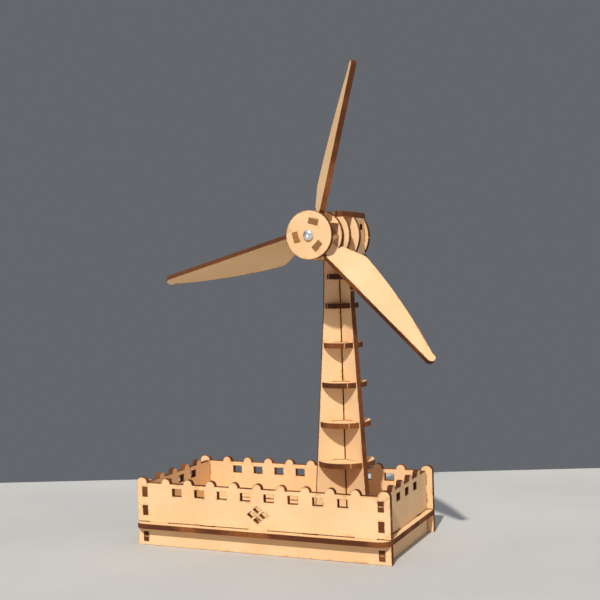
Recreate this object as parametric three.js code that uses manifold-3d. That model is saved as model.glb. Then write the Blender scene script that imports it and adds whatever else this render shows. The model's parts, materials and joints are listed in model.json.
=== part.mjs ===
// Desk tray with a model wind turbine, a slot-together kit cut from 3 mm board.
//
// The tray is a floor plate with walls above it and a skirt below it. A tower of three
// tapered fins and round ribs stands in the tray and carries a nacelle of ribs, and the
// three-bladed rotor turns on a small machine screw at the front of the nacelle.
//
// Millimetres, +Z up, the front of the tray faces -Y. The pieces are first placed from
// the tray's front left bottom corner, then the whole model is moved so that the origin
// is the bottom centre of its bounding box.

import * as THREE from "three";
import * as BufferGeometryUtils from "three/addons/utils/BufferGeometryUtils.js";
import Module from "manifold-3d";

const wasm = await Module();
wasm.setup();

// Driving dimensions

const BOARD = 3; // thickness of the board
const PLAY = 0.1; // gap on each side of a tab in its slot

const TRAY_LENGTH = 160; // over the outer ends of the front wall
const TRAY_DEPTH = 80; // over the outer faces of the front and back walls
const SKIRT_HEIGHT = 10.7;
const WALL_TOP = 37.2; // height of the wall's edge between the merlons
const FLOOR_LIP = 5; // the floor plate's lip in front of and behind the walls
const FLOOR_CORNER = 6.5; // radius of the floor plate's corners
const SIDE_INSET = 4; // from the end of the front wall to the side wall's face
const PITCH = 15; // from merlon to merlon, and from window to window
const MERLON_RADIUS = 3;
const END_MERLON = { width: 7.2, height: 3.1 };
const WINDOW = { width: 6, height: 4.3, z: 32.2 };
const CORNER_TAB = { height: 5.4, upper: 31.7, lower: 20.7, skirt: 5.1 };
const MOTIF = { z: 22.5, reachX: 3.9, reachZ: 3, halfWidth: 2.5, halfHeight: 1.9 };

const TOWER = { x: 119.5, y: 40 };
const SEAM = { left: 1.1, right: 1.1, back: 0.6 }; // from the axis to each fin's inner edge
const FIN = { foot: 19.8, waist: 10.6, waistZ: 141, head: 9.9 }; // half-widths and a height
const FIN_FOOT_TAB = [6, 14]; // radial extent of the tab in the floor plate
const FIN_HEAD_TAB = [3, 8]; // radial extent of the tab in the nacelle floor
const RIBS = { firstZ: 47.7, step: 22.9, count: 5, topZ: 156.2 };
const RIB_INSET = 0.7; // a rib's rim lies this far inside the fins' edges
const RIB_TOP_INSET = 1.6;
const RIB_SLOT_START = 0.5; // a rib's slots start at this part of its radius

const HUB = { y: -4.9, z: 179.4, frontRadius: 13.5, backRadius: 14, gap: 11 };
// A mount's slots in the hub discs, from the axis along its blade and clockwise of it
const HUB_SLOT = { distance: 7.65, shift: 1, width: 5.45, play: 0.05 };
const MOUNT_HALF_LENGTH = 9.2;
const BLADE_ANGLE = 15.1; // of the first blade, clockwise from the top
const BLADE_PITCH = -55; // out of the plane of the rotor
const BLADE = {
  tongue: { start: 5.4, chord: [-2.6, 3.6], play: 0.25 },
  root: { start: 10.1, end: 14.4, chord: [-4.4, 5.2], flare: -7.1 },
  lead: 6.3,
  shoulder: { start: [24.4, -13], corner: [27, -14.5], end: [30, -14.05] },
  trailBelly: [60, -11.2],
  trailEnd: [92.4, 0.7],
  tip: { radius: 2.9, centre: 93.4, startAngle: -72 },
};

// Nacelle, measured backwards from the front face of the hub
const NACELLE_RIBS = [
  { name: "front", offset: 18, radius: 16.8 },
  { name: "middle", offset: 30, radius: 18 },
  { name: "rear", offset: 46.3, radius: 17.5 },
];
const NACELLE_TOP = 10.2; // from the rotor axis up to the roof
const NACELLE_BOTTOM = 10.8; // and down to the floor
const NACELLE_END = 56;
// Half-widths at the front end, in the middle and at the rear end
const ROOF_PLAN = { start: 18, front: 12.6, belly: 16.4, rear: 12.2 };
const NACELLE_FLOOR_PLAN = { start: 29, front: 7, belly: 10.8, rear: 12.2 };
const NACELLE_TAB = { x: 7, width: 4 };
const STRIP = { x: 12, tabHalfHeight: 3 };
const STRIP_WINDOW = { y: [39.5, 43], z: [3.4, 6.3] };

const SCREW = { radius: 1.5, length: 25, chamfer: 0.5, headGap: 0.2 };
const HEAD = { radius: 2.95, height: 2, crown: [2.65, -2], side: -0.5 }; // below the shank
const BORE_RADIUS = 1.62;
const CROSS = { length: 3.2, width: 0.75, depth: 1.1 };
const WASHER = { radius: 3.5, bore: 1.6, thickness: 0.5 };
const NUT = { acrossFlats: 5.5, bore: 1.6, height: 2.4 };

const LARGE_RADIUS = 5;
// Around a full circle above and below that radius, and along the screw head's crown
const STEPS = { large: 72, small: 32, head: 5 };
const FLOOR_TOP = SKIRT_HEIGHT + BOARD;

const wood = new THREE.MeshStandardMaterial({ color: 0xdcb482, roughness: 0.75, metalness: 0 });
const steel = new THREE.MeshStandardMaterial({ color: 0xc4c8cc, roughness: 0.3, metalness: 1 });

const X = new THREE.Vector3(1, 0, 0);
const Y = new THREE.Vector3(0, 1, 0);
const Z = new THREE.Vector3(0, 0, 1);
const model = new THREE.Group();
const rotor = new THREE.Group();
model.add(rotor);

// Outlines

function rectangle(x0, x1, y0, y1) {
  const shape = new THREE.Shape();
  shape.moveTo(x0, y0);
  shape.lineTo(x1, y0);
  shape.lineTo(x1, y1);
  shape.lineTo(x0, y1);
  return shape;
}

// A tab's slot, with play all round.
function slot(x0, x1, y0, y1) {
  return rectangle(x0 - PLAY, x1 + PLAY, y0 - PLAY, y1 + PLAY);
}

function polygon(points) {
  return new THREE.Shape(points.map(([x, y]) => new THREE.Vector2(x, y)));
}

function ellipse(x, y, radiusX, radiusY) {
  const steps = radiusX > LARGE_RADIUS ? STEPS.large : STEPS.small;
  const corner = (k) => {
    const angle = (2 * Math.PI * k) / steps;
    return [x + radiusX * Math.cos(angle), y + radiusY * Math.sin(angle)];
  };
  return polygon(Array.from({ length: steps }, (_, k) => corner(k)));
}

function circle(x, y, radius) {
  return ellipse(x, y, radius, radius);
}

// A rectangle that runs outwards from (x, y) between two radii, turned by an angle.
function spoke(x, y, inner, outer, halfWidth, degrees) {
  const angle = THREE.MathUtils.degToRad(degrees);
  const [cos, sin] = [Math.cos(angle), Math.sin(angle)];
  const corner = (r, w) => [x + r * cos - w * sin, y + r * sin + w * cos];
  return polygon([
    corner(inner, -halfWidth),
    corner(outer, -halfWidth),
    corner(outer, halfWidth),
    corner(inner, halfWidth),
  ]);
}

// Solids. Boards are joined and cut as solids, so that every one is a closed body.

function toSolid(geometry) {
  const bare = geometry.clone();
  bare.deleteAttribute("normal");
  bare.deleteAttribute("uv");
  const merged = BufferGeometryUtils.mergeVertices(bare, 1e-5);
  return new wasm.Manifold(
    new wasm.Mesh({
      numProp: 3,
      vertProperties: Float32Array.from(merged.attributes.position.array),
      triVerts: Uint32Array.from(merged.index.array),
    }),
  );
}

function toGeometry(solid) {
  const mesh = solid.getMesh();
  const geometry = new THREE.BufferGeometry();
  geometry.setAttribute("position", new THREE.BufferAttribute(mesh.vertProperties, 3));
  geometry.setIndex(new THREE.BufferAttribute(mesh.triVerts, 1));
  geometry.computeVertexNormals();
  return geometry;
}

function extrude(shape, depth, start = 0) {
  const settings = { depth, bevelEnabled: false, curveSegments: STEPS.small / 2 };
  return toSolid(new THREE.ExtrudeGeometry(shape, settings).translate(0, 0, start));
}

// One outline with others added to it and then others cut out of it.
function cutBoard({ outline, add = [], cut = [] }, depth = BOARD) {
  let solid = extrude(outline, depth);
  for (const shape of add) solid = solid.add(extrude(shape, depth));
  for (const shape of cut) solid = solid.subtract(extrude(shape, 3 * depth, -depth));
  return solid;
}

// A flat board: its drawing lies in the plane of u and v, and its thickness grows along
// u x v from the origin given.
function board(name, drawing, u, v, origin, parent = model) {
  const mesh = new THREE.Mesh(toGeometry(cutBoard(drawing)), wood);
  const normal = new THREE.Vector3().crossVectors(u, v);
  mesh.name = name;
  mesh.quaternion.setFromRotationMatrix(new THREE.Matrix4().makeBasis(u, v, normal));
  mesh.position.copy(origin);
  parent.add(mesh);
  return mesh;
}

// Tray

const OVERLAP = 1; // how far a tab's outline reaches into the board that it grows from
// The first centre and the number of merlons and windows
const LONG_WALL_ROWS = { merlons: [20, 9], windows: [27.5, 8] };
const SIDE_WALL_ROWS = { merlons: [17.5, 4], windows: [25, 3] };
const LONG_WALL_TABS = [
  [8, 21.5],
  [73.5, 86.5],
  [138.5, 152],
];
const SIDE_WALL_TABS = [[26.5, 53.5]];
const LONG_SKIRT_TABS = [
  [43, 52],
  [108, 117],
];
const SIDE_SKIRT_TABS = [
  [14, 22],
  [58, 66],
];
const WALL_GAP = 0.35; // between the floor plate and a wall's lower edge
const SIDE_NEAR = BOARD + PLAY;
const SIDE_FAR = TRAY_DEPTH - BOARD - PLAY;

function row([first, count]) {
  return Array.from({ length: count }, (_, k) => first + PITCH * k);
}

// Full circles at the wall's upper edge, of which the upper halves stand clear.
function merlons(centres) {
  return centres.map((centre) => circle(centre, WALL_TOP, MERLON_RADIUS));
}

function windows(centres) {
  const half = WINDOW.width / 2;
  const [low, high] = [WINDOW.z - WINDOW.height / 2, WINDOW.z + WINDOW.height / 2];
  return centres.map((centre) => rectangle(centre - half, centre + half, low, high));
}

// Four small diamonds around the middle of the front wall.
function motif() {
  const [x, z] = [TRAY_LENGTH / 2, MOTIF.z];
  const centres = [
    [x - MOTIF.reachX, z],
    [x + MOTIF.reachX, z],
    [x, z - MOTIF.reachZ],
    [x, z + MOTIF.reachZ],
  ];
  return centres.map(([cx, cz]) =>
    polygon([
      [cx - MOTIF.halfWidth, cz],
      [cx, cz - MOTIF.halfHeight],
      [cx + MOTIF.halfWidth, cz],
      [cx, cz + MOTIF.halfHeight],
    ]),
  );
}

// Slots near both ends of a long wall or skirt, for the side pieces' tabs.
function cornerSlots(heights) {
  const half = CORNER_TAB.height / 2;
  const starts = [SIDE_INSET, TRAY_LENGTH - SIDE_INSET - BOARD];
  return heights.flatMap((height) =>
    starts.map((start) => slot(start, start + BOARD, height - half, height + half)),
  );
}

// Tabs at both ends of a side piece, which reach through the long walls.
function cornerTabs(heights) {
  const half = CORNER_TAB.height / 2;
  const ends = [
    [0, SIDE_NEAR + OVERLAP],
    [SIDE_FAR - OVERLAP, TRAY_DEPTH],
  ];
  return heights.flatMap((height) =>
    ends.map(([start, end]) => rectangle(start, end, height - half, height + half)),
  );
}

function downTabs(extents) {
  return extents.map(([start, end]) => rectangle(start, end, SKIRT_HEIGHT, FLOOR_TOP + OVERLAP));
}

function upTabs(extents) {
  return extents.map(([start, end]) => rectangle(start, end, SKIRT_HEIGHT - OVERLAP, FLOOR_TOP));
}

function longWall(extraCuts) {
  const halfEnd = END_MERLON.width / 2;
  const ends = [halfEnd, TRAY_LENGTH - halfEnd];
  return {
    outline: rectangle(0, TRAY_LENGTH, FLOOR_TOP + WALL_GAP, WALL_TOP),
    add: [
      ...downTabs(LONG_WALL_TABS),
      ...merlons(row(LONG_WALL_ROWS.merlons)),
      ...ends.map((x) => ellipse(x, WALL_TOP, halfEnd, END_MERLON.height)),
    ],
    cut: [
      ...windows(row(LONG_WALL_ROWS.windows)),
      ...cornerSlots([CORNER_TAB.upper, CORNER_TAB.lower]),
      ...extraCuts,
    ],
  };
}

function longSkirt() {
  return {
    outline: rectangle(0, TRAY_LENGTH, 0, SKIRT_HEIGHT),
    add: upTabs(LONG_SKIRT_TABS),
    cut: cornerSlots([CORNER_TAB.skirt]),
  };
}

function sideWall() {
  return {
    outline: rectangle(SIDE_NEAR, SIDE_FAR, FLOOR_TOP + WALL_GAP, WALL_TOP),
    add: [
      ...downTabs(SIDE_WALL_TABS),
      ...cornerTabs([CORNER_TAB.upper, CORNER_TAB.lower]),
      ...merlons(row(SIDE_WALL_ROWS.merlons)),
    ],
    cut: windows(row(SIDE_WALL_ROWS.windows)),
  };
}

function sideSkirt() {
  return {
    outline: rectangle(SIDE_NEAR, SIDE_FAR, 0, SKIRT_HEIGHT),
    add: [...upTabs(SIDE_SKIRT_TABS), ...cornerTabs([CORNER_TAB.skirt])],
  };
}

// Directions of the three fins in plan, in degrees from +X.
const FIN_ANGLES = { left: 210, right: 330, back: 90 };

function finSlots(x, y, [inner, outer]) {
  return Object.values(FIN_ANGLES).map((degrees) =>
    spoke(x, y, inner - PLAY, outer + PLAY, BOARD / 2 + PLAY, degrees),
  );
}

function roundedPlan() {
  const [front, back] = [-FLOOR_LIP, TRAY_DEPTH + FLOOR_LIP];
  const round = FLOOR_CORNER;
  const shape = new THREE.Shape();
  shape.absarc(TRAY_LENGTH - round, front + round, round, -Math.PI / 2, 0, false);
  shape.absarc(TRAY_LENGTH - round, back - round, round, 0, Math.PI / 2, false);
  shape.absarc(round, back - round, round, Math.PI / 2, Math.PI, false);
  shape.absarc(round, front + round, round, Math.PI, 1.5 * Math.PI, false);
  return shape;
}

// The floor plate: slots for the walls and skirts, and three slots for the tower.
function floorPlate() {
  const cut = finSlots(TOWER.x, TOWER.y, FIN_FOOT_TAB);
  for (const y of [0, TRAY_DEPTH - BOARD]) {
    for (const [start, end] of [...LONG_WALL_TABS, ...LONG_SKIRT_TABS]) {
      cut.push(slot(start, end, y, y + BOARD));
    }
  }
  for (const x of [SIDE_INSET, TRAY_LENGTH - SIDE_INSET - BOARD]) {
    for (const [start, end] of [...SIDE_WALL_TABS, ...SIDE_SKIRT_TABS]) {
      cut.push(slot(x, x + BOARD, start, end));
    }
  }
  return { outline: roundedPlan(), cut };
}

function addTray() {
  const at = (x, y, z) => new THREE.Vector3(x, y, z);
  const rightX = TRAY_LENGTH - SIDE_INSET - BOARD;
  board("floor_plate", floorPlate(), X, Y, at(0, 0, SKIRT_HEIGHT));
  board("front_wall", longWall(motif()), X, Z, at(0, BOARD, 0));
  board("back_wall", longWall([]), X, Z, at(0, TRAY_DEPTH, 0));
  board("front_skirt", longSkirt(), X, Z, at(0, BOARD, 0));
  board("back_skirt", longSkirt(), X, Z, at(0, TRAY_DEPTH, 0));
  board("left_wall", sideWall(), Y, Z, at(SIDE_INSET, 0, 0));
  board("right_wall", sideWall(), Y, Z, at(rightX, 0, 0));
  board("left_skirt", sideSkirt(), Y, Z, at(SIDE_INSET, 0, 0));
  board("right_skirt", sideSkirt(), Y, Z, at(rightX, 0, 0));
}

// Tower

const NACELLE_FLOOR_TOP = HUB.z - NACELLE_BOTTOM;
const TOWER_TOP = NACELLE_FLOOR_TOP - BOARD;

function finHalfWidth(z) {
  const foot = [FLOOR_TOP, FIN.foot];
  const waist = [FIN.waistZ, FIN.waist];
  const head = [TOWER_TOP, FIN.head];
  const [low, high] = z < FIN.waistZ ? [foot, waist] : [waist, head];
  return THREE.MathUtils.mapLinear(z, low[0], high[0], low[1], high[1]);
}

function ribList() {
  const ribs = Array.from({ length: RIBS.count }, (_, k) => {
    const z = RIBS.firstZ + RIBS.step * k;
    return { z, radius: finHalfWidth(z) - RIB_INSET };
  });
  ribs.push({ z: RIBS.topZ, radius: finHalfWidth(RIBS.topZ) - RIB_TOP_INSET });
  return ribs;
}

// A fin, drawn in radius and height. Notches in its inner edge take the ribs.
function fin(ribs, seam) {
  const half = BOARD / 2;
  return {
    outline: polygon([
      [seam, FLOOR_TOP],
      [FIN.foot, FLOOR_TOP],
      [FIN.waist, FIN.waistZ],
      [FIN.head, TOWER_TOP],
      [seam, TOWER_TOP],
    ]),
    add: [
      rectangle(...FIN_FOOT_TAB, SKIRT_HEIGHT, FLOOR_TOP + OVERLAP),
      rectangle(...FIN_HEAD_TAB, TOWER_TOP - OVERLAP, NACELLE_FLOOR_TOP),
    ],
    cut: ribs.map(({ z, radius }) => slot(0, radius * RIB_SLOT_START, z - half, z + half)),
  };
}

// A round rib with three slots, open at the rim, which the fins slide into.
function rib(radius) {
  const inner = radius * RIB_SLOT_START;
  const cut = Object.values(FIN_ANGLES).map((degrees) =>
    spoke(0, 0, inner, 2 * radius, BOARD / 2 + PLAY, degrees),
  );
  return { outline: circle(0, 0, radius), cut };
}

function addTower() {
  const ribs = ribList();
  for (const [side, degrees] of Object.entries(FIN_ANGLES)) {
    const out = X.clone().applyAxisAngle(Z, THREE.MathUtils.degToRad(degrees));
    const normal = new THREE.Vector3().crossVectors(out, Z);
    const origin = new THREE.Vector3(TOWER.x, TOWER.y, 0).addScaledVector(normal, -BOARD / 2);
    board(`tower_fin_${side}`, fin(ribs, SEAM[side]), out, Z, origin);
  }
  ribs.forEach(({ z, radius }, k) => {
    const origin = new THREE.Vector3(TOWER.x, TOWER.y, z - BOARD / 2);
    board(`tower_rib_${k + 1}`, rib(radius), X, Y, origin);
  });
}

// Nacelle

// The roof or the floor, drawn in width and distance behind the hub's front. Its sides
// bulge, and it has slots for the tabs of the ribs.
function nacellePlan({ start, front, belly, rear }, slots) {
  const middle = (start + NACELLE_END) / 2;
  const outline = new THREE.Shape();
  outline.moveTo(-front, start);
  outline.lineTo(front, start);
  outline.quadraticCurveTo(belly, middle, rear, NACELLE_END);
  outline.lineTo(-rear, NACELLE_END);
  outline.quadraticCurveTo(-belly, middle, -front, start);
  return { outline, cut: slots };
}

// The middles of a rib's tabs: two in the roof, and the same in the floor, which doesn't
// reach the front rib and is too narrow for more than one at the middle rib.
function ribTabs(name) {
  const pair = [-NACELLE_TAB.x, NACELLE_TAB.x];
  const floor = { front: [], middle: [0], rear: pair };
  return { roof: pair, floor: floor[name] };
}

function nacelleSlots(place) {
  const half = NACELLE_TAB.width / 2;
  return NACELLE_RIBS.flatMap(({ name, offset }) =>
    ribTabs(name)[place].map((x) => slot(x - half, x + half, offset, offset + BOARD)),
  );
}

// A round rib cut flat above and below. The rear one holds the side strips.
function nacelleRib({ name, radius }) {
  const half = NACELLE_TAB.width / 2;
  const { roof, floor } = ribTabs(name);
  const tab = (x, low, high) => rectangle(x - half, x + half, low, high);
  const add = [
    ...roof.map((x) => tab(x, NACELLE_TOP - OVERLAP, NACELLE_TOP + BOARD)),
    ...floor.map((x) => tab(x, -NACELLE_BOTTOM - BOARD, -NACELLE_BOTTOM + OVERLAP)),
  ];
  const stripSlots = [STRIP.x, -STRIP.x - BOARD].map((x) =>
    slot(x, x + BOARD, -STRIP.tabHalfHeight, STRIP.tabHalfHeight),
  );
  const cuts = { front: [circle(0, 0, BORE_RADIUS)], middle: [], rear: stripSlots };
  const upper = Math.asin(NACELLE_TOP / radius);
  const lower = Math.asin(NACELLE_BOTTOM / radius);
  const outline = new THREE.Shape();
  outline.absarc(0, 0, radius, -lower, upper, false);
  outline.absarc(0, 0, radius, Math.PI - upper, Math.PI + lower, false);
  return { outline, add, cut: cuts[name] };
}

// A strip along the nacelle's side between the two ribs behind, drawn in distance behind
// the hub's front and height above the rotor axis. It has a tab in the rear rib and a
// window.
function sideStrip() {
  const [, middle, rear] = NACELLE_RIBS;
  const [start, end] = [middle.offset + BOARD + PLAY, rear.offset - PLAY];
  const { tabHalfHeight } = STRIP;
  return {
    outline: rectangle(start, end, -NACELLE_BOTTOM + PLAY, NACELLE_TOP - PLAY),
    add: [rectangle(end - OVERLAP, rear.offset + BOARD, -tabHalfHeight, tabHalfHeight)],
    cut: [rectangle(...STRIP_WINDOW.y, ...STRIP_WINDOW.z)],
  };
}

function addNacelle() {
  const at = (x, offset, z) => new THREE.Vector3(TOWER.x + x, HUB.y + offset, z);
  const headSlots = finSlots(0, TOWER.y - HUB.y, FIN_HEAD_TAB);
  const roof = nacellePlan(ROOF_PLAN, nacelleSlots("roof"));
  const floor = nacellePlan(NACELLE_FLOOR_PLAN, [...nacelleSlots("floor"), ...headSlots]);
  board("nacelle_roof", roof, X, Y, at(0, 0, HUB.z + NACELLE_TOP));
  board("nacelle_floor", floor, X, Y, at(0, 0, TOWER_TOP));
  for (const ribData of NACELLE_RIBS) {
    const origin = at(0, ribData.offset + BOARD, HUB.z);
    board(`nacelle_rib_${ribData.name}`, nacelleRib(ribData), X, Z, origin);
  }
  board("nacelle_side_right", sideStrip(), Y, Z, at(STRIP.x, 0, HUB.z));
  board("nacelle_side_left", sideStrip(), Y, Z, at(-STRIP.x - BOARD, 0, HUB.z));
}

// Rotor. Angles around its axis run clockwise from the top, seen from the front.

const hubCentre = new THREE.Vector3(TOWER.x, HUB.y, HUB.z);
const BACK_DISC = BOARD + HUB.gap; // from the hub's front face to the back disc

function outward(degrees) {
  return Z.clone().applyAxisAngle(Y, THREE.MathUtils.degToRad(degrees));
}

function clockwise(degrees) {
  return X.clone().applyAxisAngle(Y, THREE.MathUtils.degToRad(degrees));
}

function hubDisc(radius) {
  const { distance, shift, width, play } = HUB_SLOT;
  const half = BOARD / 2 + play;
  const slots = [0, 120, 240].map((turn) => {
    const degrees = BLADE_ANGLE + turn;
    const side = clockwise(degrees).multiplyScalar(shift);
    const direction = 90 - degrees;
    return spoke(side.x, side.z, distance - half, distance + half, width / 2 + play, direction);
  });
  return { outline: circle(0, 0, radius), cut: [...slots, circle(0, 0, BORE_RADIUS)] };
}

// A blade: its length runs out from the axis, and its chord is positive towards the
// straight leading edge. The root is narrow between the hub discs, and its tongue
// reaches through the mount.
function bladeOutline() {
  const { root, lead, shoulder, trailBelly, trailEnd, tip } = BLADE;
  const tipStart = THREE.MathUtils.degToRad(tip.startAngle);
  const outline = new THREE.Shape();
  outline.moveTo(root.end, lead);
  outline.lineTo(root.end, root.flare);
  outline.lineTo(...shoulder.start);
  outline.quadraticCurveTo(...shoulder.corner, ...shoulder.end);
  outline.quadraticCurveTo(...trailBelly, ...trailEnd);
  outline.absarc(tip.centre, lead - tip.radius, tip.radius, tipStart, Math.PI / 2, false);
  return outline;
}

function addBlade(name, degrees) {
  const out = outward(degrees);
  const pitch = THREE.MathUtils.degToRad(BLADE_PITCH);
  const chord = clockwise(degrees).multiplyScalar(Math.cos(pitch));
  chord.addScaledVector(Y, Math.sin(pitch));
  const normal = new THREE.Vector3().crossVectors(out, chord);
  const origin = hubCentre.clone().addScaledVector(Y, BOARD + HUB.gap / 2);
  origin.addScaledVector(normal, -BOARD / 2);
  const { root, tongue } = BLADE;
  const add = [
    rectangle(root.start, root.end + OVERLAP, ...root.chord),
    rectangle(tongue.start, root.start + OVERLAP, ...tongue.chord),
  ];
  return board(name, { outline: bladeOutline(), add }, out, chord, origin, rotor);
}

// A small board between the hub discs, square to the blade. Its tabs fill the discs'
// slots, and it is cut for the blade's tongue, which passes through it.
function addMount(name, degrees, blade) {
  const half = HUB_SLOT.width / 2;
  const out = outward(degrees);
  const origin = hubCentre.clone().addScaledVector(out, HUB_SLOT.distance - BOARD / 2);
  origin.addScaledVector(clockwise(degrees), HUB_SLOT.shift);
  const drawing = {
    outline: rectangle(-MOUNT_HALF_LENGTH, MOUNT_HALF_LENGTH, BOARD + PLAY, BACK_DISC - PLAY),
    add: [rectangle(-half, half, 0, BACK_DISC + BOARD)],
  };
  const mount = board(name, drawing, clockwise(degrees), Y, origin, rotor);
  mount.updateMatrix();
  blade.updateMatrix();
  const { start, chord, play } = BLADE.tongue;
  const [low, high] = chord;
  const cutter = new THREE.BoxGeometry(2 * start, high - low + 2 * play, BOARD + 2 * play);
  cutter.translate(1.5 * start, (low + high) / 2, BOARD / 2);
  cutter.applyMatrix4(blade.matrix).applyMatrix4(mount.matrix.clone().invert());
  mount.geometry = toGeometry(toSolid(mount.geometry).subtract(toSolid(cutter)));
}

function addRotor() {
  const discAt = (offset) => hubCentre.clone().addScaledVector(Y, offset + BOARD);
  board("hub_front_disc", hubDisc(HUB.frontRadius), X, Z, discAt(0), rotor);
  board("hub_back_disc", hubDisc(HUB.backRadius), X, Z, discAt(BACK_DISC), rotor);
  for (const k of [0, 1, 2]) {
    const degrees = BLADE_ANGLE + 120 * k;
    const blade = addBlade(`blade_${k + 1}`, degrees);
    addMount(`blade_mount_${k + 1}`, degrees, blade);
  }
}

// Fasteners: turned about +Z, then laid along +Y on the rotor axis

function addFastener(name, solid, offset) {
  const mesh = new THREE.Mesh(toGeometry(solid), steel);
  mesh.name = name;
  mesh.rotation.x = -Math.PI / 2;
  mesh.position.copy(hubCentre).addScaledVector(Y, offset);
  model.add(mesh);
}

// A pan-head screw, its head below z = 0 and its shank above, with a cross recess.
function screwSolid() {
  const { radius, length, chamfer } = SCREW;
  const profile = new THREE.Path();
  profile.moveTo(0, -HEAD.height);
  profile.quadraticCurveTo(...HEAD.crown, HEAD.radius, HEAD.side);
  profile.lineTo(HEAD.radius, 0);
  profile.lineTo(radius, 0);
  profile.lineTo(radius, length - chamfer);
  profile.lineTo(radius - chamfer, length);
  profile.lineTo(0, length);
  const lathe = new THREE.LatheGeometry(profile.getPoints(STEPS.head), STEPS.small);
  let solid = toSolid(lathe.rotateX(Math.PI / 2));
  for (const turn of [0, Math.PI / 2]) {
    const bar = new THREE.BoxGeometry(CROSS.length, CROSS.width, 2 * CROSS.depth);
    bar.translate(0, 0, -HEAD.height).rotateZ(turn);
    solid = solid.subtract(toSolid(bar));
  }
  return solid;
}

function addFasteners() {
  const hubBack = BACK_DISC + BOARD;
  const ribFront = NACELLE_RIBS[0].offset;
  const ribBack = ribFront + BOARD + PLAY;
  const washer = { outline: circle(0, 0, WASHER.radius), cut: [circle(0, 0, WASHER.bore)] };
  const corner = NUT.acrossFlats / Math.sqrt(3);
  const hexagon = [0, 60, 120, 180, 240, 300].map((degrees) => {
    const angle = THREE.MathUtils.degToRad(degrees);
    return [corner * Math.cos(angle), corner * Math.sin(angle)];
  });
  const nut = { outline: polygon(hexagon), cut: [circle(0, 0, NUT.bore)] };
  const thickness = WASHER.thickness;
  addFastener("rotor_screw", screwSolid(), -SCREW.headGap);
  addFastener("hub_washer", cutBoard(washer, thickness), (hubBack + ribFront - thickness) / 2);
  addFastener("nut_washer", cutBoard(washer, thickness), ribBack);
  addFastener("rotor_nut", cutBoard(nut, NUT.height), ribBack + thickness + PLAY);
}

addTray();
addTower();
addNacelle();
addRotor();
addFasteners();

const object = new THREE.Group();
object.add(model);
object.updateMatrixWorld(true);
const box = new THREE.Box3().setFromObject(model, true);
const centre = box.getCenter(new THREE.Vector3());
model.position.set(-centre.x, -centre.y, -box.min.z);

export default object;
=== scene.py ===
"""Looks of the slot-together wind turbine on its desk tray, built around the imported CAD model.

Every board is made again from the outline of its CAD node: a flat sheet with rounded rims,
a scorched halo along each cut and burnt walls. The screw, the nut and the washers are
turned and milled in mesh code. Lengths are in metres. They are in millimetres where a name
ends in _MM, in a board's own plane, and in the tables of the stubs and the fasteners.
"""

import json
import math

import bmesh
import bpy
import numpy as np
from mathutils import Matrix, Vector, geometry


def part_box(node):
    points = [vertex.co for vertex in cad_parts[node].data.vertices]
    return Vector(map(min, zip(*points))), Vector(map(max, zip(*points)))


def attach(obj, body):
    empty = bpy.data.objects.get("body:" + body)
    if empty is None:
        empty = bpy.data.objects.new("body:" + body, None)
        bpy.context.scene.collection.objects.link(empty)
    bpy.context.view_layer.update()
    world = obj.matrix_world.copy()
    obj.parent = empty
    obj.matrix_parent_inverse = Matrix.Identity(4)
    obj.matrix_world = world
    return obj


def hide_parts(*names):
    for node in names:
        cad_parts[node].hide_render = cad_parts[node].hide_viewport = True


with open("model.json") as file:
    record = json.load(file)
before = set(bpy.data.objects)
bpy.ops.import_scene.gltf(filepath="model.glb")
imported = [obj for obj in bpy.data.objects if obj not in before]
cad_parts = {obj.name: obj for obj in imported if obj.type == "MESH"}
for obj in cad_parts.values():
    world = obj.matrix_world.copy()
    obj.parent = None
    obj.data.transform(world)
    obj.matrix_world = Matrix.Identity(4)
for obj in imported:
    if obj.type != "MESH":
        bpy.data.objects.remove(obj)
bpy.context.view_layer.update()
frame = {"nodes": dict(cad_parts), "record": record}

MM = 0.001

# Cut boards, in millimetres
KERF_MM = 0.07  # what the cutter takes from each edge
SLOT_KERF_MM = {"hub_front_disc": 0.0}  # where a board's slots differ
ROUNDING_MM = 0.13  # radius of the rim between a face and a cut wall
RING_MM = (0.3, 0.6)  # rings of points on a face, this far in from its edge
GRID_MM = 2.4  # spacing of the points in the middle of a face
GRID_CLEARANCE_MM = 1.5  # and how far they keep from the edge
EDGE_LIMIT_MM = 6.0  # distances to the edge are kept up to this value
SMOOTH_TURN = math.radians(25)  # a wall that turns less than this at a point is smooth
TICK_MM = 0.5  # width of the pale stub left by a holding bridge
TICK_RAMP_MM = 0.12  # and of the change from stub to burnt wall on each side of it
MOUNT_WEAR = 0.42  # how far the mounts' cut walls are lightened towards a stub
GRAIN_STEP_MM = 173.0  # moves the grain from one board to the next

# How the CAD meshes are read
WELD_MM = 0.002  # CAD points closer than this are made one
SAME_NORMAL = 0.999  # cosine above which two faces lie in one plane
STRAIGHT_SINE = 1e-3  # a point of an outline where it turns less than this is left out
TRIANGLE_TOLERANCE_MM = 1e-5
FLAT_TURN = math.radians(0.5)  # faces of a mount that meet at less are made one
SHARP_TURN = math.radians(20)  # edges of a mount that turn more are rounded
FACE_COSINE = 0.9  # a face of a mount closer to the board's normal isn't a cut wall

BODY_OF = {
    node: body
    for body, nodes in frame["record"]["behaviour"]["bodies"].items()
    for node in nodes
}
FASTENERS = ("rotor_screw", "hub_washer", "nut_washer", "rotor_nut")
MOUNTS = ("blade_mount_1", "blade_mount_2", "blade_mount_3")
BOARDS = [n for n in sorted(BODY_OF) if n not in FASTENERS and n not in MOUNTS]


# Materials


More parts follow.
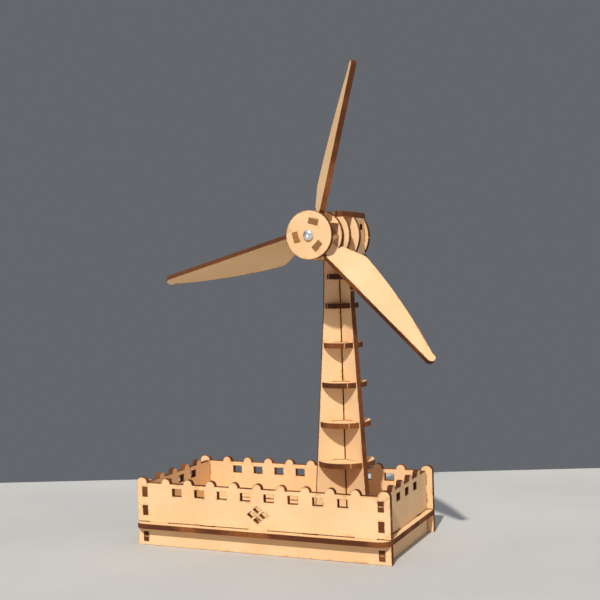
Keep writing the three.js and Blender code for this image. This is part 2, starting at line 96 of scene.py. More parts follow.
class Shader:
    """A material's node tree, with one short call for each kind of node."""

    def __init__(self, name):
        self.material = bpy.data.materials.new(name)
        self.material.use_nodes = True
        self.tree = self.material.node_tree
        self.surface = self.tree.nodes["Principled BSDF"]

    def put(self, socket, value):
        if isinstance(value, bpy.types.NodeSocket):
            self.tree.links.new(value, socket)
        else:
            socket.default_value = value

    def attribute(self, name, output="Fac"):
        node = self.tree.nodes.new("ShaderNodeAttribute")
        node.attribute_name = name
        return node.outputs[output]

    def stretch(self, vector, scale, turn=0.0):
        node = self.tree.nodes.new("ShaderNodeMapping")
        self.put(node.inputs["Vector"], vector)
        node.inputs["Rotation"].default_value = (0, 0, math.radians(turn))
        node.inputs["Scale"].default_value = scale
        return node.outputs["Vector"]

    def noise(self, vector, scale=1.0, detail=2.0, roughness=0.5):
        node = self.tree.nodes.new("ShaderNodeTexNoise")
        self.put(node.inputs["Vector"], vector)
        node.inputs["Scale"].default_value = scale
        node.inputs["Detail"].default_value = detail
        node.inputs["Roughness"].default_value = roughness
        return node.outputs["Fac"]

    def span(self, value, low, high, start=0.0, end=1.0):
        """value from low..high brought smoothly to start..end."""
        node = self.tree.nodes.new("ShaderNodeMapRange")
        node.interpolation_type = "SMOOTHSTEP"
        self.put(node.inputs["Value"], value)
        for key, number in (("From Min", low), ("From Max", high)):
            node.inputs[key].default_value = number
        for key, number in (("To Min", start), ("To Max", end)):
            node.inputs[key].default_value = number
        return node.outputs["Result"]

    def math(self, operation, a, b):
        node = self.tree.nodes.new("ShaderNodeMath")
        node.operation = operation
        self.put(node.inputs[0], a)
        self.put(node.inputs[1], b)
        return node.outputs["Value"]

    def mix(self, factor, a, b):
        node = self.tree.nodes.new("ShaderNodeMix")
        node.data_type = "RGBA"
        self.put(node.inputs["Factor"], factor)
        colours = [s for s in node.inputs if s.type == "RGBA"]
        for socket, value in zip(colours, (a, b)):
            self.put(socket, value if isinstance(value, bpy.types.NodeSocket) else (*value, 1))
        return [s for s in node.outputs if s.type == "RGBA"][0]

    def bump(self, height, depth, strength=1.0):
        node = self.tree.nodes.new("ShaderNodeBump")
        node.inputs["Strength"].default_value = strength
        node.inputs["Distance"].default_value = depth
        self.put(node.inputs["Height"], height)
        self.put(self.surface.inputs["Normal"], node.outputs["Normal"])


BOARD_PALE = (0.80, 0.535, 0.300)
BOARD_WARM = (0.74, 0.465, 0.240)
FIBRE_DARK = (0.56, 0.325, 0.150)
SPECK = (0.36, 0.175, 0.065)
SCORCH = (0.15, 0.050, 0.015)
SMOKE = (0.50, 0.200, 0.052)
CUT_BROWN = (0.160, 0.044, 0.012)
CUT_LIGHT = (0.290, 0.092, 0.022)
CUT_BLACK = (0.042, 0.011, 0.004)
STUB = (0.62, 0.33, 0.125)
BOARD_SPECULAR = 0.22
FIBRE_RELIEF_MM = 0.05
STEEL_BRIGHT = (0.90, 0.91, 0.92)
STEEL_DULL = (0.76, 0.78, 0.80)
TURNING_MARKS_MM = 0.006
FLOOR_LIGHT = (0.53, 0.515, 0.49)
FLOOR_DARK = (0.47, 0.46, 0.445)
PAINTED_WALL_SHADE = {  # painted shade: how much darker the cut walls of these boards, which lie in shade, are made; other boards get none
    "tower_rib_5": 0.85,
    "tower_rib_6": 0.9,
    "tower_fin_right": 0.35,
    "nacelle_roof": 0.3,
    "blade_3": 0.6,
}


def board_material():
    """Raw pressed wood board: short pale fibres on the faces, scorched along each cut,
    and burnt brown with fine streaks across the thickness on the cut walls, made darker
    with painted shade on the boards that lie in shade."""
    s = Shader("board")
    grain = s.attribute("grain", "Vector")
    edge = s.attribute("edge")
    cut = s.attribute("cut")
    stub = s.attribute("stub")
    # painted shade: how much darker the cut walls of a board that lies in shade are made
    painted_shade = s.attribute("painted_shade")

    # Noise in the board's own millimetres: large patches, fibres that lie three ways, specks
    patches = s.noise(grain, 0.035, 3.0)
    cloud = s.noise(grain, 0.22, 3.0, 0.6)
    fibres_a = s.noise(s.stretch(grain, (0.8, 5.0, 3.0), 12), 1.0, 3.0, 0.6)
    fibres_b = s.noise(s.stretch(grain, (0.9, 5.5, 3.0), 74), 1.0, 3.0, 0.6)
    fibres_c = s.noise(s.stretch(grain, (1.0, 6.0, 3.0), 131), 1.0, 2.0, 0.6)
    specks = s.noise(grain, 3.2, 2.0)
    fibres = s.math("MAXIMUM", s.math("MAXIMUM", fibres_a, fibres_b), fibres_c)

    face = s.mix(s.span(patches, 0.3, 0.7), BOARD_PALE, BOARD_WARM)
    face = s.mix(s.span(cloud, 0.45, 0.75, 0.0, 0.25), face, BOARD_WARM)
    face = s.mix(s.span(fibres, 0.60, 0.80, 0.0, 0.38), face, FIBRE_DARK)
    face = s.mix(s.span(specks, 0.70, 0.80, 0.0, 0.55), face, SPECK)

    # Smoke and a thin scorch line along the edges, by the distance to the nearest cut in mm
    wander = s.span(s.noise(grain, 0.8, 3.0), 0.25, 0.75, -0.22, 0.28)
    reach = s.math("ADD", edge, wander)
    gust = s.span(s.noise(grain, 0.17, 1.0), 0.55, 0.66, 0.0, 1.0)
    smoke = s.math("MULTIPLY", s.span(reach, 0.0, 2.0, 0.50, 0.0), gust)
    face = s.mix(smoke, face, SMOKE)
    face = s.mix(s.span(reach, 0.0, 0.55, 0.30, 0.0), face, SMOKE)
    face = s.mix(s.span(reach, -0.1, 0.22, 0.85, 0.0), face, SCORCH)

    # Cut walls: streaks across the thickness, soot in long stretches, painted shade on the boards
    # that lie in shade, and pale stubs
    streaks = s.noise(s.stretch(grain, (4.0, 4.0, 0.22)), 1.0, 3.0, 0.65)
    soot = s.noise(grain, 0.035, 2.0)
    wall = s.mix(s.span(streaks, 0.30, 0.75), CUT_BROWN, CUT_LIGHT)
    # the soot, raised on the listed boards to their painted shade, which darkens the cut walls of
    # boards that lie in shade
    burnt = s.math("MAXIMUM", s.span(soot, 0.40, 0.58, 0.0, 0.75), painted_shade)
    wall = s.mix(burnt, wall, CUT_BLACK)
    worn = s.math("MULTIPLY", stub, s.span(streaks, 0.25, 0.55, 0.3, 0.8))
    wall = s.mix(worn, wall, STUB)

    s.put(s.surface.inputs["Base Color"], s.mix(cut, face, wall))
    dullness = s.span(cut, 0.0, 1.0, 0.78, 0.84)
    unevenness = s.span(specks, 0.3, 0.7, -0.04, 0.04)
    s.put(s.surface.inputs["Roughness"], s.math("ADD", dullness, unevenness))
    s.surface.inputs["Specular IOR Level"].default_value = BOARD_SPECULAR
    relief = s.math("MULTIPLY", s.span(cut, 0.0, 1.0, 0.35, 1.6), s.span(fibres, 0.4, 0.9))
    ridges = s.math("MULTIPLY", s.math("MULTIPLY", cut, streaks), 1.6)
    s.bump(s.math("ADD", relief, ridges), FIBRE_RELIEF_MM * MM)
    return s.material


def steel_material():
    """Zinc-plated steel with faint turning marks."""
    s = Shader("zinc_steel")
    spot = s.tree.nodes.new("ShaderNodeTexCoord").outputs["Object"]
    haze = s.noise(spot, 900.0, 3.0)
    marks = s.noise(s.stretch(spot, (9000.0, 900.0, 9000.0)), 1.0, 2.0)
    colour = s.mix(s.span(haze, 0.35, 0.7), STEEL_BRIGHT, STEEL_DULL)
    s.put(s.surface.inputs["Base Color"], colour)
    s.surface.inputs["Metallic"].default_value = 1.0
    s.put(s.surface.inputs["Roughness"], s.span(haze, 0.2, 0.8, 0.20, 0.36))
    s.bump(marks, TURNING_MARKS_MM * MM)
    return s.material


def floor_material():
    """A plain pale matt table."""
    s = Shader("floor")
    spot = s.tree.nodes.new("ShaderNodeTexCoord").outputs["Object"]
    cloud = s.noise(spot, 6.0, 4.0)
    colour = s.mix(s.span(cloud, 0.3, 0.7), FLOOR_LIGHT, FLOOR_DARK)
    s.put(s.surface.inputs["Base Color"], colour)
    s.surface.inputs["Roughness"].default_value = 0.85
    return s.material


# Outlines of the CAD boards, in millimetres in the board's own plane


def cad_mesh(node):
    """A copy of a CAD node's mesh, in which the corners that its triangles share are one."""
    mesh = bmesh.new()
    mesh.from_mesh(frame["nodes"][node].data)
    bmesh.ops.remove_doubles(mesh, verts=mesh.verts, dist=WELD_MM * MM)
    return mesh


class Outline:
    """A board's two directions u and v, its normal n, and the loops of its face. The
    material lies to the left of every loop's direction."""

    def __init__(self, node):
        mesh = cad_mesh(node)
        mesh.normal_update()
        self.n = widest_normal(mesh)
        face = [f for f in mesh.faces if f.normal.dot(self.n) > SAME_NORMAL]
        heights = [v.co.dot(self.n) / MM for v in mesh.verts]
        self.base = min(heights)
        self.thickness = max(heights) - self.base
        loops = boundary_loops(face)
        sides = [b - a for loop in loops for a, b in zip(loop, loop[1:] + loop[:1])]
        self.u = max(sides, key=lambda side: side.length).normalized()
        self.v = self.n.cross(self.u)
        self.loops = [self.flatten(loop) for loop in loops]
        mesh.free()

    def flatten(self, loop):
        """The loop in the board's plane, without the points on its straight stretches."""
        points = np.array([self.plane(p) for p in loop])
        before = points - np.roll(points, 1, 0)
        after = np.roll(points, -1, 0) - points
        before /= np.linalg.norm(before, axis=1)[:, None]
        after /= np.linalg.norm(after, axis=1)[:, None]
        turns = np.abs(before[:, 0] * after[:, 1] - before[:, 1] * after[:, 0])
        return points[turns > STRAIGHT_SINE]

    def plane(self, point):
        """A point in metres brought to (u, v)."""
        return (point.dot(self.u) / MM, point.dot(self.v) / MM)

    def space(self, u, v, w):
        """A point in metres from (u, v) and the height w above the board's lower face."""
        return (self.u * u + self.v * v + self.n * (self.base + w)) * MM


def widest_normal(mesh):
    """The normal of the plane that most of the mesh's area faces."""
    areas = {}
    for f in mesh.faces:
        key = tuple(round(c, 2) + 0.0 for c in f.normal)  # + 0.0 makes one key of 0.0 and -0.0
        areas[key] = areas.get(key, 0) + f.calc_area()
    # In whole square millimetres, so that two equal faces are always told apart the same way
    rough = Vector(max(sorted(areas), key=lambda key: round(areas[key] / MM**2))).normalized()
    total = Vector()
    for f in mesh.faces:
        if f.normal.dot(rough) > SAME_NORMAL:
            total += f.normal * f.calc_area()
    return total.normalized()


def boundary_loops(faces):
    """The closed loops of the edges that only one of these faces has."""
    steps = dict.fromkeys(  # a set that keeps its order
        (corner.vert, corner.link_loop_next.vert) for f in faces for corner in f.loops
    )
    following = {a: b for a, b in steps if (b, a) not in steps}
    loops = []
    while following:
        start, point = next(iter(following.items()))
        loop = [start.co.copy()]
        del following[start]
        while point != start:
            loop.append(point.co.copy())
            point = following.pop(point)
        loops.append(loop)
    return loops


def offset(points, inset):
    """The loop moved to its left, into the material, with mitred corners."""
    along = np.roll(points, -1, 0) - points
    along /= np.linalg.norm(along, axis=1)[:, None]
    left = np.stack([-along[:, 1], along[:, 0]], 1)
    left_before = np.roll(left, 1, 0)
    mitre = (left + left_before) / (1 + (left * left_before).sum(1))[:, None]
    return points + inset * mitre


def add_stubs(points, spots):
    """Points added on both sides of each spot on the loop, and which points are stubs."""
    sides = np.roll(points, -1, 0) - points
    lengths = np.linalg.norm(sides, axis=1)
    starts = np.concatenate([[0], np.cumsum(lengths)])
    total = starts[-1]
    marks = {start: 0.0 for start in starts[:-1]}
    half = TICK_MM / 2
    for spot in spots:
        middle = place_on_loop(points, sides, lengths, starts, spot)
        for start in starts[:-1]:
            if abs((start - middle + total / 2) % total - total / 2) <= half:
                marks[start] = 1.0
        for distance, value in ((half, 1.0), (half + TICK_RAMP_MM, 0.0)):
            marks[(middle - distance) % total] = value
            marks[(middle + distance) % total] = value
    places = np.array(sorted(marks))
    index = np.searchsorted(starts, places, side="right") - 1
    index = np.minimum(index, len(points) - 1)
    share = (places - starts[index]) / lengths[index]
    return points[index] + share[:, None] * sides[index], np.array([marks[p] for p in places])


def place_on_loop(points, sides, lengths, starts, spot):
    """How far along the loop its point nearest to the spot lies."""
    towards = np.asarray(spot) - points
    share = np.clip((towards * sides).sum(1) / lengths**2, 0, 1)
    gaps = np.linalg.norm(towards - share[:, None] * sides, axis=1)
    k = int(np.argmin(gaps))
    return starts[k] + share[k] * lengths[k]


def signed_area(points):
    """The area inside a loop, which is negative for a hole."""
    x, y = points[:, 0], points[:, 1]
    return 0.5 * float((x * np.roll(y, -1) - np.roll(x, -1) * y).sum())


def distance_to_edges(places, loops):
    """The distance from each place to the nearest side of any loop."""
    nearest = np.full(len(places), np.inf)
    for loop in loops:
        for a, b in zip(loop, np.roll(loop, -1, 0)):
            side = b - a
            share = np.clip((places - a) @ side / (side @ side), 0, 1)
            gap = np.linalg.norm(places - a - share[:, None] * side, axis=1)
            nearest = np.minimum(nearest, gap)
    return nearest


def inside(places, loops):
    """Whether each place lies in the material, by counting crossings."""
    odd = np.zeros(len(places), bool)
    for loop in loops:
        for (ax, ay), (bx, by) in zip(loop, np.roll(loop, -1, 0)):
            if ay == by:
                continue
            spans = (ay > places[:, 1]) != (by > places[:, 1])
            crossing = ax + (places[:, 1] - ay) * (bx - ax) / (by - ay)
            odd ^= spans & (places[:, 0] < crossing)
    return odd


# Boards


class Sheet:
    """Points, faces and the values at each face's corners."""

    def __init__(self):
        self.points, self.grain, self.faces = [], [], []
        self.normals, self.edge, self.cut, self.stub = [], [], [], []

    def point(self, place, grain):
        self.points.append(place)
        self.grain.append(grain)
        return len(self.points) - 1

    def face(self, corners):
        """corners: (point, normal, edge, cut, stub) for each corner."""
        self.faces.append([c[0] for c in corners])
        for _, normal, edge, cut, stub in corners:
            self.normals.append(normal)
            self.edge.append(edge)
            self.cut.append(cut)
            self.stub.append(stub)

    def build(self, name, material, painted_shade=0.0):
        mesh = bpy.data.meshes.new(name)
        mesh.from_pydata(self.points, [], self.faces, shade_flat=False)
        for key in ("edge", "cut", "stub"):
            layer = mesh.attributes.new(key, "FLOAT", "CORNER")
            layer.data.foreach_set("value", np.array(getattr(self, key), np.float32))
        # painted shade: how much darker this board's cut walls are made, the same at every point
        layer = mesh.attributes.new("painted_shade", "FLOAT", "POINT")
        layer.data.foreach_set("value", np.full(len(self.points), painted_shade, np.float32))
        layer = mesh.attributes.new("grain", "FLOAT_VECTOR", "POINT")
        layer.data.foreach_set("vector", np.array(self.grain, np.float32).ravel())
        mesh.normals_split_custom_set(self.normals)
        mesh.materials.append(material)
        piece = bpy.data.objects.new(name, mesh)
        bpy.context.scene.collection.objects.link(piece)
        return piece


def rim_levels(thickness):
    """Rings from the middle of the lower face, round the wall, to the middle of the upper
    face: (inset, height, tilt of the normal in degrees, distance to the edge, cut)."""
    slope = ROUNDING_MM * (1 - math.sqrt(0.5))
    near, far = RING_MM
    upper = [
        (0, thickness - ROUNDING_MM, 0, 0, 1),
        (slope, thickness - slope, 45, 0, 1),
        (ROUNDING_MM, thickness, 90, 0, 0),
        (near, thickness, 90, near, 0),
        (far, thickness, 90, far, 0),
    ]
    lower = [(i, thickness - h, -t, e, c) for i, h, t, e, c in reversed(upper)]
    return lower + upper


def wall_normals(points):
    """Outward directions at the start and at the end of each side of a loop."""
    along = np.roll(points, -1, 0) - points
    along /= np.linalg.norm(along, axis=1)[:, None]
    out = np.stack([along[:, 1], -along[:, 0]], 1)
    before = np.roll(out, 1, 0)
    smooth = (out * before).sum(1) > math.cos(SMOOTH_TURN)
    middle = out + before
    middle /= np.linalg.norm(middle, axis=1)[:, None]
    at_start = np.where(smooth[:, None], middle, out)
    at_end = np.where(smooth[:, None], middle, before)
    return at_start, np.roll(at_end, -1, 0)


def add_rim(sheet, outline, loop, kerf, stubs, levels, shift):
    """The bands of one loop, and the points of its innermost ring on both faces."""
    rings = []
    for inset, height, *_ in levels:
        ring = offset(loop, inset + kerf)
        rings.append([
            sheet.point(outline.space(u, v, height), (u + shift, v, height)) for u, v in ring
        ])
    at_start, at_end = wall_normals(loop)
    count = len(loop)
    for (low, lower), (high, upper) in zip(zip(rings, levels), zip(rings[1:], levels[1:])):
        for k in range(count):
            following = (k + 1) % count
            corners = []
            for ring, level, point, out in (
                (low, lower, k, at_start[k]),
                (low, lower, following, at_end[k]),
                (high, upper, following, at_end[k]),
                (high, upper, k, at_start[k]),
            ):
                _, _, tilt, edge, cut = level
                flat = outline.u * out[0] + outline.v * out[1]
                turn = math.radians(tilt)
                normal = flat * math.cos(turn) + outline.n * math.sin(turn)
                corners.append((ring[point], normal, edge, cut, stubs[point] * cut))
            sheet.face(corners)
    return rings[0], rings[-1]


def add_faces(sheet, outline, loops, kerfs, rims, shift):
    """Both faces inside the innermost rings, as triangles over an even grid of points."""
    rings = [offset(loop, RING_MM[-1] + kerf) for loop, kerf in zip(loops, kerfs)]
    ring_points = np.concatenate(rings)
    low, high = ring_points.min(0), ring_points.max(0)
    columns = np.arange(low[0], high[0], GRID_MM)
    rows = np.arange(low[1], high[1], GRID_MM * math.sqrt(3) / 2)
    grid = np.array([
        (x + (k % 2) * GRID_MM / 2, y) for k, y in enumerate(rows) for x in columns
    ])
    gaps = distance_to_edges(grid, loops)
    keep = inside(grid, rings) & (gaps > GRID_CLEARANCE_MM)
    grid, gaps = grid[keep], gaps[keep]
    places = [Vector(p) for p in np.concatenate([ring_points, grid])]
    edges, start = [], 0
    for ring in rings:
        edges += [(start + k, start + (k + 1) % len(ring)) for k in range(len(ring))]
        start += len(ring)
    verts, _, triangles, originals, _, _ = geometry.delaunay_2d_cdt(
        places, edges, [], 0, TRIANGLE_TOLERANCE_MM
    )
    middles = np.array([np.mean([verts[i] for i in t], axis=0) for t in triangles])
    kept = [t for t, ok in zip(triangles, inside(middles, rings)) if ok]
    for side, height, ring_ids in ((-1, 0.0, rims[0]), (1, outline.thickness, rims[1])):
        ids = {}

        def corner(index):
            source = originals[index][0] if originals[index] else -1
            on_grid = source >= len(ring_ids)
            gap = float(gaps[source - len(ring_ids)]) if on_grid else RING_MM[-1]
            if index not in ids:
                if 0 <= source < len(ring_ids):
                    ids[index] = ring_ids[source]
                else:
                    u, v = verts[index]
                    place = outline.space(u, v, height)
                    ids[index] = sheet.point(place, (u + shift, v, height))
            return (ids[index], outline.n * side, min(gap, EDGE_LIMIT_MM), 0.0, 0.0)

        for t in kept:
            corners = [corner(i) for i in t]
            sheet.face(corners if side > 0 else corners[::-1])


def make_board(node, order, spots, material):
    """The display board of a CAD node, with a stub near each of the spots."""
    outline = Outline(node)
    flat_spots = [outline.plane(Vector(spot)) for spot in spots]
    loops, kerfs, stubs = [], [], []
    for loop in outline.loops:
        outer = signed_area(loop) > 0
        marks = np.zeros(len(loop))
        if outer and flat_spots:
            loop, marks = add_stubs(loop, flat_spots)
        loops.append(loop)
        kerfs.append(KERF_MM if outer else SLOT_KERF_MM.get(node, KERF_MM))
        stubs.append(marks)
    sheet = Sheet()
    levels = rim_levels(outline.thickness)
    shift = GRAIN_STEP_MM * order
    rims = [[], []]
    for loop, kerf, marks in zip(loops, kerfs, stubs):
        low, high = add_rim(sheet, outline, loop, kerf, marks, levels, shift)
        rims[0] += low
        rims[1] += high
    add_faces(sheet, outline, loops, kerfs, rims, shift)
    # the boards that lie in shade get painted shade on their cut walls
    settle(sheet.build(f"{node}_board", material, PAINTED_WALL_SHADE.get(node, 0.0)), node)


def settle(piece, node):
    """The piece stands for its CAD node and rides on the node's body."""
    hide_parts(node)
    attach(piece, BODY_OF[node])


def make_mount(node, order, material):
    """A blade mount: its slanted hole has no flat outline, so its edges are rounded
    on the solid itself."""
    mesh = cad_mesh(node)
    bmesh.ops.dissolve_limit(mesh, angle_limit=FLAT_TURN, verts=mesh.verts, edges=mesh.edges)
    mesh.normal_update()
    sharp = [e for e in mesh.edges if e.calc_face_angle(0) > SHARP_TURN]
    bmesh.ops.bevel(
        mesh, geom=sharp, offset=ROUNDING_MM * MM, segments=2, profile=0.5, affect="EDGES"
    )
    bmesh.ops.triangulate(mesh, faces=[f for f in mesh.faces if len(f.verts) > 4])
    mesh.normal_update()
    n = widest_normal(mesh)
    u = max((e.verts[1].co - e.verts[0].co for e in mesh.edges), key=lambda d: d.length)
    u = (u - n * u.dot(n)).normalized()
    v = n.cross(u)
    sheet = Sheet()
    for vert in mesh.verts:
        grain = [vert.co.dot(axis) / MM for axis in (u, v, n)]
        sheet.point(vert.co.copy(), (grain[0] + GRAIN_STEP_MM * order, *grain[1:]))
    for f in mesh.faces:
        flat = abs(f.normal.dot(n)) > FACE_COSINE
        cut, worn = (0.0, 0.0) if flat else (1.0, MOUNT_WEAR)
        sheet.face([(vert.index, f.normal.copy(), RING_MM[1], cut, worn) for vert in f.verts])
    mesh.free()
    settle(sheet.build(f"{node}_board", material), node)


# Stubs of the bridges that held each board in its sheet, as places near its outer edge

RIM_STUBS = {  # on the tower's ribs, in degrees around the tower's axis from +X
    "tower_rib_1": (299, 119),
    "tower_rib_2": (300, 120),
    "tower_rib_3": (301, 121),
    "tower_rib_4": (297, 117),
    "tower_rib_5": (234, 54),
    "tower_rib_6": (233, 53),
}
RIM_STUB_REACH_MM = 30.0  # further out than any rib's rim
CORNER_STUBS = {  # the corner of the board's box in x and y, and the height over the table in mm
    "right_wall": ("low", "low", 31.7),
    "left_skirt": ("low", "low", 5.1),
    "right_skirt": ("low", "low", 5.1),
    "back_wall": ("high", "high", 21.0),
    "front_wall": ("high", "low", 25.5),
}
FIN_STUB = {"inwards": 6.0, "height": 148.2}  # mm from the right fin's outer foot, over the table
HUB_STUB = {"degrees": -8.0, "reach": 20.0}  # about the rotor's axis from +X
REAR_RIB_STUB_DROP_MM = 1.0  # below the middle of the rib's right side
PLATE_STUB_BACK_MM = 10.0  # behind the middle of the floor plate's right side


def middle_of(node):
    low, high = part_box(node)
    return (low + high) / 2


def stub_places():
    """For each board that has stubs, places near them in metres."""
    places = {}
    for node, angles in RIM_STUBS.items():
        middle = middle_of(node)
        turns = [math.radians(degrees) for degrees in angles]
        places[node] = [
            middle + Vector((math.cos(t), math.sin(t), 0)) * RIM_STUB_REACH_MM * MM for t in turns
        ]
    for node, (side_x, side_y, height) in CORNER_STUBS.items():
        ends = dict(zip(("low", "high"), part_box(node)))
        places[node] = [Vector((ends[side_x].x, ends[side_y].y, height * MM))]
    low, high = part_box("nacelle_rib_rear")
    height = middle_of("nacelle_rib_rear").z - REAR_RIB_STUB_DROP_MM * MM
    places["nacelle_rib_rear"] = [Vector((high.x, low.y, height))]
    turn = math.radians(HUB_STUB["degrees"])
    out = Vector((math.cos(turn), 0, math.sin(turn)))
    places["hub_front_disc"] = [middle_of("hub_front_disc") + out * HUB_STUB["reach"] * MM]
    low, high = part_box("tower_fin_right")
    inwards, height = FIN_STUB["inwards"], FIN_STUB["height"]
    places["tower_fin_right"] = [Vector((high.x - inwards * MM, low.y, height * MM))]
    low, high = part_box("floor_plate")
    back = (low.y + high.y) / 2 + PLATE_STUB_BACK_MM * MM
    places["floor_plate"] = [Vector((high.x, back, low.z))]
    return places


# Fasteners, turned about the rotor's axis, in millimetres

SCREW_POINTS = 96  # points around the screw
SMALL_POINTS = 72  # and around the washers and the nut
CROWN_RINGS = 40
POLE_WELD_M = 1e-7  # makes the points at the middle of a turned end one
SMOOTH_DEGREES = 35  # edges that turn more are sharp
NUT_SMOOTH_DEGREES = 28
SCREW_HEAD = {"radius": 2.95, "height": 2.0, "side": 0.55, "rim": 0.12, "roundness": 2.6}
SHANK = {"radius": 1.5, "length": 25.0}
THREAD = {
    "pitch": 0.5,
    "depth": 0.26,
    "steps": 8,  # rings in each turn
    "start": 1.0,  # length over which it grows under the head
    "end": 0.8,  # and over which it fades towards the tip
    "left": 0.2,  # share that is left at the tip
}
TIP = {"length": 0.5, "taper": 0.45}
RECESS = {
    "reach": 1.55,
    "depth": 1.15,
    "half_width": 0.38,
    "root": 1.25,  # an arm's width at the middle, over half_width
    "narrowing": 0.25,  # and what it loses in each mm outwards
    "end_wall": 0.44,  # width of the slope at an arm's end
    "side_wall": 0.1,  # and along its sides
    "tip_share": 0.25,  # of the depth, left at an arm's end
    "taper_reach": 1.6,  # where the depth would run out, over reach
}
WASHER = {"outer": 3.5, "bore": 1.6, "thickness": 0.5, "rim": 0.08}
NUT = {
    "across": 5.5,
    "bore": 1.6,
    "height": 2.4,
    "sink": 0.3,  # width and depth of the countersink
    "flat": 0.96,  # radius of the flat end, over half the width across flats
    "chamfer_from": 0.97,  # where the corners start to be turned off
    "chamfer_degrees": 30,
}


def axis_frame(node):
    """The middle of a fastener's front end, looking backwards along +Y."""
    low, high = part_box(node)
    return Matrix.Translation(Vector(((low.x + high.x) / 2, low.y, (low.z + high.z) / 2)))


def turned(name, rings, material, smooth_degrees=SMOOTH_DEGREES):
    """A closed body from rings of points. A ring is a list of (x, depth, z)."""
    mesh = bpy.data.meshes.new(name)
    count = len(rings[0])
    points = [p for ring in rings for p in ring]
    faces = []
    for r in range(len(rings) - 1):
        for k in range(count):
            following = (k + 1) % count
            a, b = r * count, (r + 1) * count
            faces.append((a + k, b + k, b + following, a + following))
    mesh.from_pydata(points, [], faces, shade_flat=False)
    body = bmesh.new()
    body.from_mesh(mesh)
    bmesh.ops.remove_doubles(body, verts=body.verts, dist=POLE_WELD_M)
    holes = [e for e in body.edges if e.is_boundary]
    if holes:
        bmesh.ops.holes_fill(body, edges=holes)
    bmesh.ops.recalc_face_normals(body, faces=body.faces)
    body.to_mesh(mesh)
    body.free()
    mesh.shade_smooth()
    mesh.set_sharp_from_angle(angle=math.radians(smooth_degrees))
    mesh.materials.append(material)
    piece = bpy.data.objects.new(name, mesh)
    bpy.context.scene.collection.objects.link(piece)
    return piece


def ring_turns(count):
    """The angles of the points of a ring."""
    return [2 * math.pi * k / count for k in range(count)]


def circle_ring(radius, depth, count):
    return [
        (radius * math.cos(t) * MM, depth * MM, radius * math.sin(t) * MM)
        for t in ring_turns(count)
    ]


def recess_depth(x, z):
    """How deep the cross recess is at a place on the head."""
    def arm(along, across):
        end = (RECESS["reach"] - abs(along)) / RECESS["end_wall"]
        width = RECESS["half_width"] * (RECESS["root"] - RECESS["narrowing"] * abs(along))
        side = (width - abs(across)) / RECESS["side_wall"]
        return max(0.0, min(1.0, end, side))

    run_out = RECESS["taper_reach"] * RECESS["reach"]
    taper = max(RECESS["tip_share"], 1 - math.hypot(x, z) / run_out)
    return RECESS["depth"] * taper * max(arm(x, z), arm(z, x))


def head_rings():
    """The head's crown with its recess, from the middle outwards, then its side."""
    radius, height, side = SCREW_HEAD["radius"], SCREW_HEAD["height"], SCREW_HEAD["side"]
    rings = []
    for k in range(CROWN_RINGS + 1):
        r = radius * math.sin(k / CROWN_RINGS * math.pi / 2)
        fall = 1 - math.sqrt(max(0.0, 1 - (r / radius) ** SCREW_HEAD["roundness"]))
        ring = []
        for turn in ring_turns(SCREW_POINTS):
            x, z = r * math.cos(turn), r * math.sin(turn)
            depth = (height - side) * fall + recess_depth(x, z)
            ring.append((x * MM, depth * MM, z * MM))
        rings.append(ring)
    rim = SCREW_HEAD["rim"]
    rings.append(circle_ring(radius, height - rim, SCREW_POINTS))
    rings.append(circle_ring(radius - rim, height, SCREW_POINTS))
    return rings


def thread_rings():
    """The shank's thread: a ridge that climbs one pitch in each turn."""
    start = SCREW_HEAD["height"]
    end = start + SHANK["length"]
    steps = int(SHANK["length"] / THREAD["pitch"] * THREAD["steps"])
    rings = []
    for k in range(steps + 1):
        depth = start + (end - start) * k / steps
        grown = min(1.0, (depth - start) / THREAD["start"])
        fade = grown * min(1.0, (end - depth) / THREAD["end"] + THREAD["left"])
        taper = TIP["taper"] * max(0.0, 1 - (end - depth) / TIP["length"])
        ring = []
        for m, turn in enumerate(ring_turns(SCREW_POINTS)):
            phase = (depth / THREAD["pitch"] - m / SCREW_POINTS) % 1.0
            groove = THREAD["depth"] * (1 - abs(2 * phase - 1)) * fade
            r = SHANK["radius"] - groove - taper
            ring.append((r * math.cos(turn) * MM, depth * MM, r * math.sin(turn) * MM))
        rings.append(ring)
    return rings


def washer_rings():
    outer, bore, thickness = WASHER["outer"], WASHER["bore"], WASHER["thickness"]
    rim = WASHER["rim"]
    profile = [
        (bore, rim), (bore + rim, 0), (outer - rim, 0), (outer, rim),
        (outer, thickness - rim), (outer - rim, thickness), (bore + rim, thickness),
        (bore, thickness - rim), (bore, rim),
    ]
    return [circle_ring(r, depth, SMALL_POINTS) for r, depth in profile]


def nut_rings():
    """A hexagon whose corners are turned off on both ends, with a countersunk bore."""
    half, bore, height, sink = NUT["across"] / 2, NUT["bore"], NUT["height"], NUT["sink"]
    turns = ring_turns(SMALL_POINTS)
    hexagon = [half / math.cos(t % (math.pi / 3) - math.pi / 6) for t in turns]
    slope = math.tan(math.radians(NUT["chamfer_degrees"]))
    turned_off = [max(0.0, r - NUT["chamfer_from"] * half) * slope for r in hexagon]

    def ring(radii, depths):
        spun = [t + math.pi / 6 for t in turns]
        return [
            (r * math.cos(t) * MM, depth * MM, r * math.sin(t) * MM)
            for r, depth, t in zip(radii, depths, spun)
        ]

    def round_ring(radius, depth):
        return ring([radius] * SMALL_POINTS, [depth] * SMALL_POINTS)

    flat = NUT["flat"] * half
    return [
        round_ring(bore, sink),
        round_ring(bore + sink, 0.0),
        round_ring(flat, 0.0),
        ring(hexagon, turned_off),
        ring(hexagon, [height - depth for depth in turned_off]),
        round_ring(flat, height),
        round_ring(bore + sink, height),
        round_ring(bore, height - sink),
        round_ring(bore, sink),
    ]


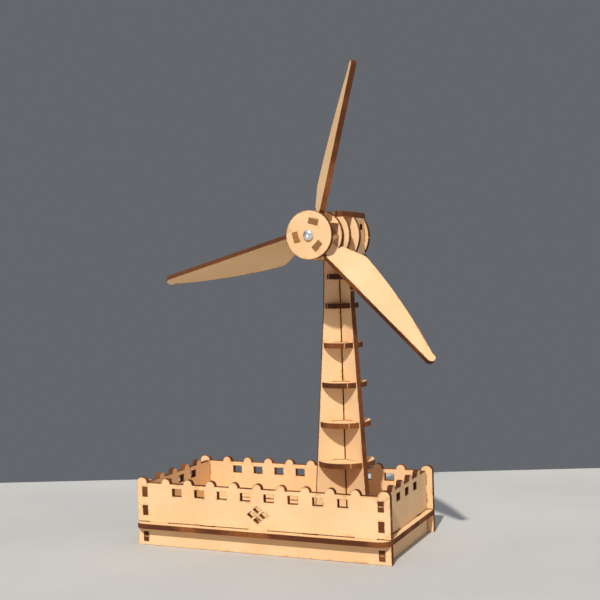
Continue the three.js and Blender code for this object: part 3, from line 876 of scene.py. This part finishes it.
def make_fasteners(material):
    screw = turned("rotor_screw_steel", head_rings() + thread_rings(), material)
    washers = [
        turned(f"{node}_steel", washer_rings(), material)
        for node in ("hub_washer", "nut_washer")
    ]
    nut = turned("rotor_nut_steel", nut_rings(), material, NUT_SMOOTH_DEGREES)
    for node, piece in zip(FASTENERS, (screw, *washers, nut)):
        piece.data.transform(axis_frame(node))
        settle(piece, node)


# Stage, light and camera, in metres and degrees

FLOOR = {"half_width": 1.6, "front": -1.6, "back": 0.2, "turn": 21.9}
SUN = {
    "from_right": 8.5,
    "height": 44.0,
    "strength": 3.7,
    "spread": 1.8,
    "colour": (1.0, 0.965, 0.90),
}
FILL = {
    "from_right": 60.0,
    "height": 50.0,
    "strength": 1.05,
    "spread": 170.0,
    "colour": (0.86, 0.93, 1.0),
}
ROOM = {"colour": (0.128, 0.135, 0.148), "strength": 1.0}
CAMERA = {
    "place": (0.25242, -0.56208, 0.15688),
    "azimuth": 24.204,  # to the right of the front
    "elevation": 1.290,  # looking down
    "roll": -1.858,
    "lens": 62.32,  # mm
    "sensor": 36.0,  # mm wide
}


def add_floor():
    """A pale table top that ends behind the tray, turned to lie across the view."""
    mesh = bpy.data.meshes.new("floor")
    wide, front, back = FLOOR["half_width"], FLOOR["front"], FLOOR["back"]
    corners = [(-wide, front, 0), (wide, front, 0), (wide, back, 0), (-wide, back, 0)]
    mesh.from_pydata(corners, [], [(0, 1, 2, 3)])
    mesh.materials.append(floor_material())
    floor = bpy.data.objects.new("floor", mesh)
    floor.rotation_euler.z = math.radians(FLOOR["turn"])
    bpy.context.scene.collection.objects.link(floor)


def add_light():
    """A lamp from the front right, a wide soft fill from above and a plain grey room."""
    for name, lamp in (("sun", SUN), ("fill", FILL)):
        light = bpy.data.lights.new(name, "SUN")
        light.energy = lamp["strength"]
        light.angle = math.radians(lamp["spread"])
        light.color = lamp["colour"]
        piece = bpy.data.objects.new(name, light)
        tilt = math.radians(90 - lamp["height"])
        piece.rotation_euler = (tilt, 0, math.radians(lamp["from_right"]))
        bpy.context.scene.collection.objects.link(piece)
    world = bpy.data.worlds.new("room")
    world.use_nodes = True
    background = world.node_tree.nodes["Background"]
    background.inputs["Color"].default_value = (*ROOM["colour"], 1)
    background.inputs["Strength"].default_value = ROOM["strength"]
    bpy.context.scene.world = world
    bpy.context.scene.view_settings.view_transform = "Standard"


def add_camera():
    """The photograph's own view of the model."""
    data = bpy.data.cameras.new("camera")
    data.lens = CAMERA["lens"]
    data.sensor_width = CAMERA["sensor"]
    camera = bpy.data.objects.new("camera", data)
    bpy.context.scene.collection.objects.link(camera)
    turn = Matrix.Rotation(math.radians(CAMERA["azimuth"]), 4, "Z")
    tilt = Matrix.Rotation(math.radians(90 - CAMERA["elevation"]), 4, "X")
    roll = Matrix.Rotation(math.radians(CAMERA["roll"]), 4, "Z")
    camera.matrix_world = Matrix.Translation(CAMERA["place"]) @ turn @ tilt @ roll
    bpy.context.scene.camera = camera


def add_boards():
    material = board_material()
    places = stub_places()
    for order, node in enumerate(BOARDS):
        make_board(node, order, places.get(node, []), material)
    for order, node in enumerate(MOUNTS):
        make_mount(node, len(BOARDS) + order, material)


add_camera()
add_boards()
make_fasteners(steel_material())
add_floor()
add_light()
